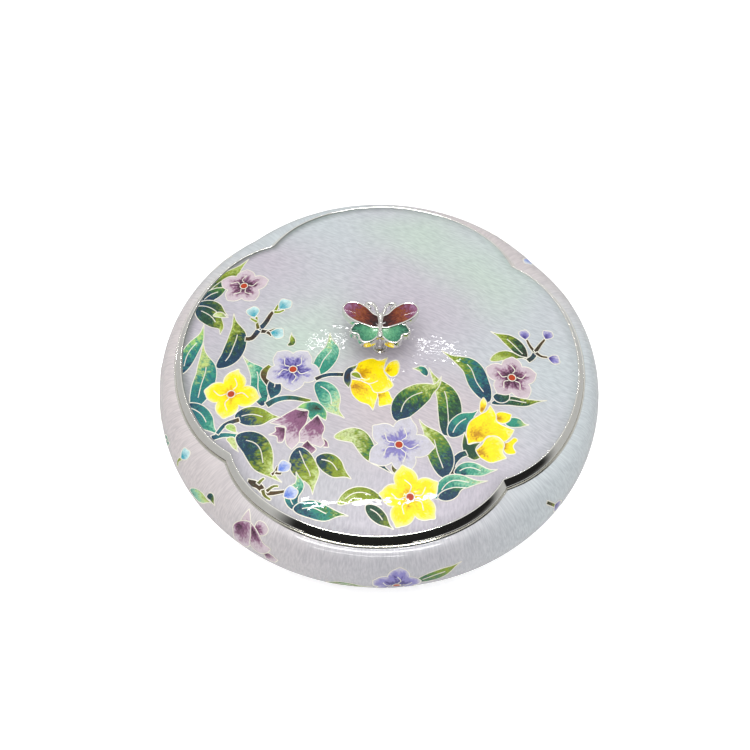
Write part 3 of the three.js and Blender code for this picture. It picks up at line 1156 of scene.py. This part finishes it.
# The front left of the lid's picture
# Hanging leaves in pairs and small blue buds on brown twigs, in wired cells that come
# close to the rim.
spray.leaf(
    [(-28.5, -52.6), (-26, -60), (-22, -65), (-18.8, -72.4)], 5.4,
    (NAVY, NAVY, OLIVE, OLIVE, LIME, PALE_LIME), vein=(0.1, 0.66),
)
spray.leaf(
    [(-20.6, -56.6), (-15, -58.8), (-10.5, -62), (-4.4, -63.6)], 4.4,
    (NAVY, DEEP_GREEN, OLIVE, OLIVE, LIME),
)
spray.leaf([(-26.4, -80), (-28.4, -74), (-26, -69), (-28.6, -63.6)], 3.0, (NAVY, TEAL, SEA, MINT, LIME))
spray.leaf([(-27, -79.5), (-20, -79), (-13, -80.4), (-4.6, -78.6)], 3.8, (NAVY, TEAL, SEA, GREEN, LIME))
spray.twig(
    [(-47.5, -69.6), (-43, -70.4), (-38.5, -73.6), (-31, -72.4)], 3.0, 1.2, (DARK_BROWN, BROWN, BROWN)
)
spray.twig([(-43, -70), (-41.8, -68.4), (-40.6, -67.2)], 1.6, 1.0, TWIG_END)
spray.twig([(-40.6, -72.2), (-39.4, -74.8), (-36.6, -76.4)], 1.6, 0.9, TWIG_END)
spray.twig([(-39, -73), (-36.4, -70.6), (-34.2, -70.4)], 1.5, 0.9, TWIG_END)
spray.twig([(-38, -65.6), (-36.6, -64.4), (-35.8, -61.6)], 1.2, 1.0, BUD_STALK)
spray.twig([(-36.6, -64.6), (-35.4, -65), (-33.8, -64.8)], 1.2, 1.0, BUD_STALK)
spray.bud((-35.6, -64), 45, 6.0, BLUE_BUD)
spray.bud((-31.8, -74.8), 35, 6.4, BLUE_BUD)

# The right of the lid's picture
# A pale violet flower, a plum flower and a yellow bell with tall leaves between them, and
# a yellow flower near the front of the rim, all in wired cells.
spray.leaf(
    [(-14.4, -46.6), (-5, -45.4), (1.4, -53), (10.4, -62.4)], 3.8,
    (LIME, PALE_LIME, OLIVE, GREEN, NAVY, NAVY), vein=None,
)
spray.leaf([(10.6, -57.4), (13, -58.6), (14.6, -62)], 2.2, (BROWN, OLIVE), vein=None)
spray.leaf(
    [(31.6, -41), (32.8, -30), (30, -20), (20, -10)], 5.2,
    (NAVY, DEEP_GREEN, DEEP_GREEN, GREEN, OLIVE, LIME, PALE_LIME),
)
spray.leaf(
    [(10.4, -36.4), (14.6, -27), (21.6, -20.4), (27, -18), (30, -14.6)], 6.0,
    (NAVY, NAVY, DEEP_GREEN, GREEN, OLIVE, LIME, PALE_LIME),
)
spray.leaf([(21.8, -12.8), (19.2, -9.4), (15, -10.4)], 1.7, (NAVY, SEA, LIME), vein=None)
spray.leaf(
    [(49, -22.4), (44.5, -14), (39.5, -5), (26, -1)], 4.8, (NAVY, NAVY, TEAL, GREEN, OLIVE, LIME)
)
spray.leaf(
    [(50, -22.8), (57, -20.4), (65, -20), (74, -17)], 2.3, (NAVY, DEEP_GREEN, DEEP_GREEN, OLIVE, LIME)
)
spray.leaf(
    [(64.5, 2.4), (59.5, 9), (54, 12.4), (47.5, 13.2)], 3.4, (DARK_BROWN, DEEP_GREEN, OLIVE, LIME)
)
spray.leaf([(48.6, -1), (55.6, 3), (65, 2)], 2.4, (LIME, OLIVE, DEEP_GREEN), vein=None)
spray.twig([(65, 1.4), (67.4, 4), (68.4, 7.2)], 2.0, 2.0, (DARK_BROWN, NAVY))
spray.twig([(68.2, 6.8), (66, 9.6), (64.4, 13)], 1.6, 1.0, BROWN_TWIG)
spray.twig([(68.4, 7), (70.4, 11), (72.6, 14.8)], 1.8, 1.0, BROWN_TWIG)
spray.twig([(68.6, 6.6), (71, 5), (74, 5)], 1.6, 1.0, BROWN_TWIG)
spray.bud((63.8, 12.8), 100, 5.6, VIOLET_BUD)
spray.bud((72.8, 14.8), 70, 5.6, VIOLET_BUD)
spray.bud((74, 4.8), -6, 5.6, VIOLET_BUD)
spray.leaf([(50.6, -19.4), (55, -19), (58, -14.6)], 2.6, (NAVY, DEEP_GREEN, DEEP_GREEN), vein=None)
spray.flower((58.4, -8.5), 10.8, 5, 92, PLUM_PETALS)
spray.leaf([(33.4, -41.2), (37, -35.4), (40.6, -31), (46, -28.4)], 4.0, (NAVY, TEAL, SEA, SEA))
spray.leaf([(56.6, -32), (61, -30.4), (66.4, -31.8)], 2.4, (SEA, SEA, LIME), vein=None)

# The yellow bell: three lips behind, two wide petals and the green cup.
spray.petal(
    [
        (45.2, -27.6), (45.2, -27.6), (45.2, -23), (46.6, -20.2), (46.6, -20.2), (48.2, -23.4),
        (46.6, -28),
    ],
    (46.4, -26.4), (AMBER, YELLOW, PALE_YELLOW), grain=YELLOW_GRAIN,
)
spray.petal(
    [
        (52, -31), (52, -31), (52.4, -27.4), (55, -26.2), (59, -26.8), (59, -26.8), (58.2, -30),
        (55.4, -31.8),
    ],
    (53, -30), YELLOW_TIP, grain=YELLOW_GRAIN,
)
spray.petal(
    [
        (54.8, -41.4), (54.8, -41.4), (58, -40), (60.4, -37.6), (62, -38.6), (60.2, -41.6),
        (61.4, -44.6), (57.4, -45.4),
    ],
    (56.4, -41.8), YELLOW_TIP, grain=YELLOW_GRAIN,
)
spray.petal(
    [
        (41, -43.8), (41, -43.8), (40.2, -38), (41.4, -33), (45.4, -29), (48, -27), (49.6, -23.6),
        (49.6, -23.6), (52.2, -27.8), (53, -31.4), (57, -33.2), (60.4, -34), (60.4, -34), (58.6, -38),
        (55.4, -40.6), (50, -38.4), (47, -41.6), (43.6, -42.4),
    ],
    (44.4, -39), YELLOW_PETALS, grain=YELLOW_GRAIN,
)
spray.petal(
    [
        (43.6, -46.8), (43.6, -46.8), (47, -43), (49, -39.4), (53, -38.2), (56.4, -41), (56, -45),
        (57.8, -47.4), (57.8, -47.4), (54, -49.4), (51, -50.4), (47.4, -49.2),
    ],
    (46.4, -46.4), YELLOW_LIP, grain=YELLOW_GRAIN,
)
spray.petal(
    [
        (39.4, -38.2), (39.4, -38.2), (40.8, -41.4), (41.4, -43.6), (44, -42.6), (46.8, -41.8),
        (46.8, -41.8), (44.6, -45.4), (46.8, -49), (46.8, -49), (44, -50.4), (40.4, -48.4),
        (38.8, -44.4),
    ],
    (41.2, -46), (DEEP_GREEN, DEEP_GREEN, OLIVE),
)

# The stem of the bell, and the leaves and flowers in front of it.
spray.twig(
    [(35.6, -58.4), (35.4, -53.6), (38, -49.4), (41, -47.6)], 2.6, 2.2,
    (DARK_BROWN, NAVY, NAVY, DEEP_GREEN),
)
spray.leaf(
    [(32.4, -60), (30.6, -51), (26, -42), (18, -36.6)], 5.4, (NAVY, NAVY, GREEN, OLIVE, LIME, PALE_LIME)
)
spray.flower((12.8, -47.5), 13.0, 5, 75, LIGHT_VIOLET_PETALS, waist=0.66, tip=0.09)
spray.leaf(
    [(36.4, -57.2), (42, -54.6), (47.6, -54.6), (54.4, -54.4)], 3.0, (NAVY, SEA, MINT, PALE_LIME)
)
spray.leaf(
    [(29, -69.4), (35, -62), (42, -60.6), (50.6, -60.4)], 3.4, (TEAL, SEA, MINT, PALE_LIME),
    vein=(0.2, 0.7),
)
spray.leaf([(30.6, -69), (36, -66.4), (41, -62)], 2.4, (NAVY, NAVY, GREEN), vein=None)
spray.leaf([(-9.4, -76), (-3.4, -71.4), (3, -70.8), (12, -74)], 3.0, (LIME, OLIVE, OLIVE, DEEP_GREEN))
spray.leaf([(2, -75.4), (7, -79), (14, -84.6)], 3.0, (DEEP_GREEN, DEEP_GREEN, OLIVE))
spray.flower((19.4, -70), 12.4, 5, 108, YELLOW_PETALS, grain=YELLOW_GRAIN, waist=0.66, tip=0.1)
spray.lay_cells("lid_cells", on_lid)
spray.lay_wires("lid_wires", on_lid)

# The picture on the bowl
# Single flowers, buds and leaves scattered round the belly in the same work, in cells
# between silver wires as on the lid.

HIGHEST_TURN = math.radians(84)


def on_bowl(x, y, lift):
    """The point at x mm round the belly from +X and y mm up the skin from it."""
    turn = (y / UPPER_ARC if y >= 0 else y / LOWER_ARC) * math.pi / 2
    return skin_point(x / BELLY_RADIUS, min(turn, HIGHEST_TURN), OUTER_SKIN, lift=lift, rough=1.0)


def round_belly(degrees, points):
    """Points moved to an angle round the belly."""
    shift = math.radians(degrees) * BELLY_RADIUS
    return [(x + shift, y) for x, y in points]


PALE_BELL = (PLUM_HEART, PLUM, PLUM_EDGE, PLUM_EDGE)
DEEP_VIOLET_PETALS = (VIOLET_HEART, VIOLET_HEART, VIOLET_HEART, VIOLET, VIOLET, VIOLET_EDGE)
bowl_picture = Picture()


def scatter(degrees, drop):
    """One group of motifs: a bell with its leaves, a bud, and an open flower further round."""

    def here(points):
        return round_belly(degrees, [(x, y - drop) for x, y in points])

    bowl_picture.twig(here([(-49, 4), (-49.4, 7), (-48, 9.6)]), 1.0, 1.4, GREEN_TWIG)
    bowl_picture.bud(here([(-48.4, 9)])[0], 84, 6.0, TURQUOISE_BUD)
    bowl_picture.leaf(here([(-66, 2), (-63, 4), (-59, 6)]), 2.4, (TEAL, SEA, MINT))
    bowl_picture.leaf(
        here([(-37, 2), (-31, 4.5), (-22.5, 7.8)]), 2.6, (SEA, MINT, LIME, OLIVE), vein=None
    )
    bowl_picture.leaf(here([(-26.4, 8), (-24, 9.6), (-20.6, 7.6)]), 1.5, SMALL_BLADE, vein=None)
    top = here([(-6, 11), (-6, 11), (-5.6, 15), (-5, 18.4), (-5, 18.4), (-2.4, 15.4), (0, 11)])
    bowl_picture.petal(top, here([(-3, 11)])[0], (PLUM, PLUM_EDGE, PLUM_EDGE))
    right = here([(1.6, 11), (1.4, 16), (4.4, 17.2), (7.4, 15.4), (7.2, 12.4), (4.6, 10.4)])
    bowl_picture.petal(right, here([(2.4, 12)])[0], PALE_BELL)
    low = here([(8, 3), (10.6, 4.2), (14.4, 2.4), (14.4, 2.4), (12, -1), (8.4, 0)])
    bowl_picture.petal(low, here([(9, 2.4)])[0], PALE_BELL)
    left = here(
        [
            (-8, 2.4), (-8.4, 8), (-4.6, 12.4), (-1, 13.6), (-1, 13.6), (0.6, 8), (1, 3), (-3.4, -3.4),
            (-3.4, -3.4), (-7.2, -1),
        ],
    )
    bowl_picture.petal(left, here([(-5.4, 9)])[0], PALE_BELL)
    body = here(
        [
            (-1, 13.6), (-1, 13.6), (2.6, 12), (5, 10), (7, 8), (10.8, 7), (10.8, 7), (9.4, 4),
            (5.2, 1), (1, 3), (0.6, 8),
        ],
    )
    bowl_picture.petal(body, here([(1.4, 10)])[0], PALE_BELL)
    bowl_picture.leaf(here([(35, -7), (43, -3), (54.4, -5)]), 3.0, (OLIVE, GREEN, LIME))
    bowl_picture.leaf(here([(72, 1), (80, 2.4), (86, 4.4), (91, 8)]), 3.0, (NAVY, GREEN, OLIVE, OLIVE))
    bowl_picture.flower(here([(64.4, -1.4)])[0], 10.4, 5, 84, DEEP_VIOLET_PETALS, waist=0.74)


scatter(-117, 0)
scatter(58, 4)
scatter(148, 4)
base, *stalk = round_belly(-36, [(0, 5), (-4, 9), (0, 4)])
bowl_picture.twig(stalk, 1.4, 1.4, TWIG)
bowl_picture.bud(base, 300, 6.0, VIOLET_BUD)
base, *stalk = round_belly(47, [(0, 10), (4, 7.6), (1, 9.4)])
bowl_picture.twig(stalk, 1.6, 1.2, TWIG)
bowl_picture.bud(base, 130, 6.0, BLUE_BUD)
bowl_picture.lay_cells("bowl_cells", on_bowl)
bowl_picture.lay_wires("bowl_wires", on_bowl)

# The butterfly knob
# A cast silver butterfly with coloured enamel sunk in its four wings, held over the
# middle of the lid on a short post.

KNOB_TURN = math.radians(4.8)
WING_THICKNESS = 4.0
UPPER_WING_TOP = 71.0
LOWER_WING_TOP = 70.5
ENAMEL_DEPTH = 0.45
ENAMEL_DOME = 0.18
ENAMEL_RINGS = 14
BORDER_WIDTH = 0.84
BODY_RADIUS = 1.3
BODY_HEIGHT = 70.6
BODY_SIDES = 20
ANTENNA_RADIUS = 0.75
ANTENNA_HEIGHT = 70.4
ANTENNA_SIDES = 10
POST_SECTION = [
    (3.2, 55.4), (3.2, 56.0), (3.1, 56.1), (2.0, 56.2), (1.9, 56.4), (1.9, 66.6), (2.4, 67.2),
]
UPPER_WING = [
    (0.6, 5.6), (3, 7.4), (6.2, 11), (10.3, 13.3), (14.6, 13), (16.7, 9.6), (14.9, 5.6), (11.2, 2.6),
    (6.6, 0.5), (2.4, -0.9), (0.2, 0.4),
]
LOWER_WING = [
    (0.2, 1.5), (6, 2.2), (10.6, 2.3), (12.2, 0.4), (13.1, -1.9), (12, -3.4), (9.8, -4.1), (9.1, -6.3),
    (7.2, -8.1), (4.2, -7.9), (1.9, -6.4), (0.2, -3.6),
]
ANTENNA = [
    (0.8, 6), (1.7, 8.8), (2.3, 10.9), (3.5, 12.4), (4.9, 12.8), (6.1, 12.3), (5.9, 11.2), (4.4, 9.9),
]
BODY = [
    (0, -6.2), (0.75, -5.7), (1, -4.6), (1, -3.4), (0.7, -2.5), (0.75, -1), (0.6, -0.2), (0.65, 2),
    (0.6, 3.4), (0.85, 4.6), (1, 5.8), (0.8, 6.7), (0, 7.1),
]
UPPER_TONES = (
    hue("1C0608"),
    hue("2E0A0A"),
    hue("4E160C"),
    hue("70280E"),
    hue("8C4818"),
    hue("70283A"),
    hue("845070"),
    hue("966C8E"),
)
LOWER_TONES = (hue("A4D4B2"), hue("62AA7E"), hue("3A8464"), hue("124438"))


def knob_place(x, y, z):
    """A point of the butterfly, turned a little on its post."""
    return (
        x * math.cos(KNOB_TURN) - y * math.sin(KNOB_TURN),
        x * math.sin(KNOB_TURN) + y * math.cos(KNOB_TURN),
        z,
    )


def inset(outline, distance):
    """The outline moved inwards by a distance."""
    out = []
    for i, point in enumerate(outline):
        ahead = (outline[(i + 2) % len(outline)] - outline[i - 2]).normalized()
        out.append(point + left_of(ahead) * distance)
    return out


def rings(levels):
    """Points and faces of a skin through loops of equal length."""
    count = len(levels[0])
    points = [p for level in levels for p in level]
    faces = []
    for i in range(len(levels) - 1):
        for j in range(count):
            k = (j + 1) % count
            faces.append((i * count + j, i * count + k, (i + 1) * count + k, (i + 1) * count + j))
    return points, faces


def knob_piece(name, points, faces, material, colours=None):
    add_object(name, points, faces, material, "butterfly_knob", colours)


def wing(name, points, top, side, heart, tones, base):
    """One wing: a silver tray with a rounded border, and the enamel in it."""
    outline = curve(points, 6, closed=True)
    if sum(a.x * b.y - b.x * a.y for a, b in zip(outline, joined_up(outline)[1:])) < 0:
        outline.reverse()
    section = [
        (0.4, -WING_THICKNESS),
        (0.0, 0.3 - WING_THICKNESS),
        (0.0, -0.4),
        (0.12, -0.12),
        (0.35, 0.0),
        (0.6, 0.0),
        (0.8, -0.1),
        (0.85, -ENAMEL_DEPTH - 0.1),
    ]
    levels = []
    for away, drop in section:
        levels.append([knob_place(side * p.x, p.y, top + drop) for p in inset(outline, away)])
    made, faces = rings(levels)
    faces.append(tuple(range(len(outline))))
    knob_piece(name + "_silver", made, faces, polished_silver)
    field = inset(outline, BORDER_WIDTH)
    middle, root = Vector(heart), Vector(base)
    longest = max((p - root).length for p in field)
    levels, colours = [], []
    for i in range(ENAMEL_RINGS + 1):
        share = i / ENAMEL_RINGS
        ring = [middle.lerp(p, share) for p in field]
        height = top - ENAMEL_DEPTH + ENAMEL_DOME * (1 - share**2)
        levels.append([knob_place(side * p.x, p.y, height) for p in ring])
        for p in ring:
            from_root = (p - root).length / longest + 0.24 * mottle(p * 1.4)
            colours.append((*ramp(tones, from_root), 0.6))
    made, faces = rings(levels)
    knob_piece(name + "_enamel", made, faces, inlaid_enamel, colours)


def antenna(name, side):
    """One antenna: a bent wire that curls back at its end."""
    line = resampled(curve(ANTENNA, 8), 0.35)
    levels = []
    for i, point in enumerate(line):
        loop = []
        for j in range(ANTENNA_SIDES):
            swing = 2 * math.pi * j / ANTENNA_SIDES
            spot = point + leftward(line, i) * math.cos(swing) * ANTENNA_RADIUS
            height = ANTENNA_HEIGHT + ANTENNA_RADIUS * math.sin(swing)
            loop.append(knob_place(side * spot.x, spot.y, height))
        levels.append(loop)
    made, faces = rings(levels)
    faces.append(tuple(range(ANTENNA_SIDES)))
    faces.append(tuple(range(len(made) - ANTENNA_SIDES, len(made))))
    knob_piece(name, made, faces, polished_silver)


for side, word in ((1, "right"), (-1, "left")):
    wing("upper_wing_" + word, UPPER_WING, UPPER_WING_TOP, side, (8.6, 6.4), UPPER_TONES, (0.5, 3.0))
    wing("lower_wing_" + word, LOWER_WING, LOWER_WING_TOP, side, (6.2, -2.4), LOWER_TONES, (0.5, -0.5))
    antenna("antenna_" + word, side)

levels = []
for point in curve(BODY, 3):
    reach = max(point.x, 0.01) * BODY_RADIUS
    loop = []
    for j in range(BODY_SIDES):
        swing = 2 * math.pi * j / BODY_SIDES
        height = BODY_HEIGHT + reach * math.sin(swing)
        loop.append(knob_place(reach * math.cos(swing), point.y, height))
    levels.append(loop)
made, faces = rings(levels)
knob_piece("butterfly_body", made, faces, polished_silver)

levels = []
for radius, height in POST_SECTION:
    swings = [math.radians(a) for a in range(0, 360, 15)]
    levels.append([(radius * math.cos(s), radius * math.sin(s), height) for s in swings])
made, faces = rings(levels)
knob_piece("butterfly_post", made, faces, polished_silver)

# The table, the light and the camera
# A plain white surface under a soft white studio sky that is dark behind the camera. One
# large lamp lights the object, and narrow ones only show as highlights.

TABLE_HALF = 4.0
SKY_STRENGTH = 1.15
SKY_LOW = 0.52
SKY_MIDDLE = 0.14
SKY_TOP = 0.35
DARK_EAST = 0.35
DARK_SOUTH = 0.94
DARK_DEPTH = 0.97
CAMERA_PLACE = (0.02215, -0.26265, 0.42858)
CAMERA_AIM = (-0.00095, -0.01117, 0.05)
CAMERA_ROLL = 0.814
LAMP_AIM = (0.0, 0.0, 0.05)


def table_white(nodes):
    cloud = nodes.noise(nodes.place(), 3.0)
    tone = nodes.mix(cloud, (0.93, 0.93, 0.93), (0.95, 0.95, 0.95))
    return {"Base Color": tone, "Roughness": 0.7, "Emission Color": tone, "Emission Strength": 0.35}


floor_mesh = bpy.data.meshes.new("table")
corners = [(x * TABLE_HALF, y * TABLE_HALF, 0) for x, y in ((-1, -1), (1, -1), (1, 1), (-1, 1))]
floor_mesh.from_pydata(corners, [], [(0, 1, 2, 3)])
floor_mesh.materials.append(finish("table_white", table_white))
floor = bpy.data.objects.new("table", floor_mesh)
bpy.context.collection.objects.link(floor)
floor.visible_glossy = False

world = bpy.data.worlds.new("studio")
bpy.context.scene.world = world
world.use_nodes = True
sky = Nodes(world.node_tree)
direction = sky.add("ShaderNodeTexCoord", {}, {}, output="Generated")
east, north, height = sky.parts(direction)
middle_sky = sky.fade(height, 0.0, 0.5) * SKY_MIDDLE
top_sky = sky.fade(height, 0.75, 0.97) * SKY_TOP
bright = middle_sky + top_sky + SKY_LOW
towards_dark = east * DARK_EAST - north * DARK_SOUTH
# The level reach of a direction; 1.001 keeps it above nought straight up.
reach = (1.001 - height * height).root()
facing = towards_dark / reach
dark = sky.fade(facing, 0.35, 0.6) * (1 - sky.fade(height, 0.74, 0.88)) * sky.fade(height, -0.3, 0.0)
level = bright * (1 - dark * DARK_DEPTH)
background = world.node_tree.nodes["Background"]
sky.put(background.inputs["Color"], sky.joined(level, level, level))
background.inputs["Strength"].default_value = SKY_STRENGTH


def lamp(name, towards, distance, width, length, power, mirrored=True):
    """A rectangular lamp facing the lid, which only shows mirrored or else only lights."""
    data = bpy.data.lights.new(name, "AREA")
    data.shape = "RECTANGLE"
    data.size = width
    data.size_y = length
    data.energy = power
    light = bpy.data.objects.new(name, data)
    light.location = Vector(LAMP_AIM) + Vector(towards).normalized() * distance
    light.rotation_mode = "QUATERNION"
    light.rotation_quaternion = Vector(towards).to_track_quat("Z", "Y")
    light.visible_glossy = mirrored
    light.visible_diffuse = not mirrored
    bpy.context.collection.objects.link(light)


lamp("soft_overhead", (0.0, -0.4, 1.0), 2.5, 3.0, 3.0, 60.0, mirrored=False)
lamp("lamp_back_left", (-0.145, 0.577, 0.81), 2.0, 0.16, 0.015, 0.22)
lamp("lamp_back_right", (0.06, 0.581, 0.814), 2.0, 0.22, 0.015, 0.3)
lamp("lamp_overhead", (-0.03, 0.182, 0.98), 2.0, 0.76, 0.018, 4.0)
lamp("lamp_over_camera", (0.0, -0.22, 0.97), 2.0, 1.2, 0.4, 30.0)
lamp("lamp_by_camera", (-0.05, -0.727, 0.686), 2.0, 1.2, 0.15, 8.0)

camera_data = bpy.data.cameras.new("camera")
camera_data.lens = 49.9
camera_data.sensor_width = 36.0
camera_data.clip_end = 20.0
camera = bpy.data.objects.new("camera", camera_data)
camera.location = CAMERA_PLACE
aim = Vector(CAMERA_AIM) - camera.location
camera.rotation_mode = "QUATERNION"
roll = Quaternion((0, 0, 1), math.radians(CAMERA_ROLL))
camera.rotation_quaternion = aim.to_track_quat("-Z", "Y") @ roll
bpy.context.collection.objects.link(camera)
bpy.context.scene.camera = camera
bpy.context.scene.view_settings.view_transform = "Standard"
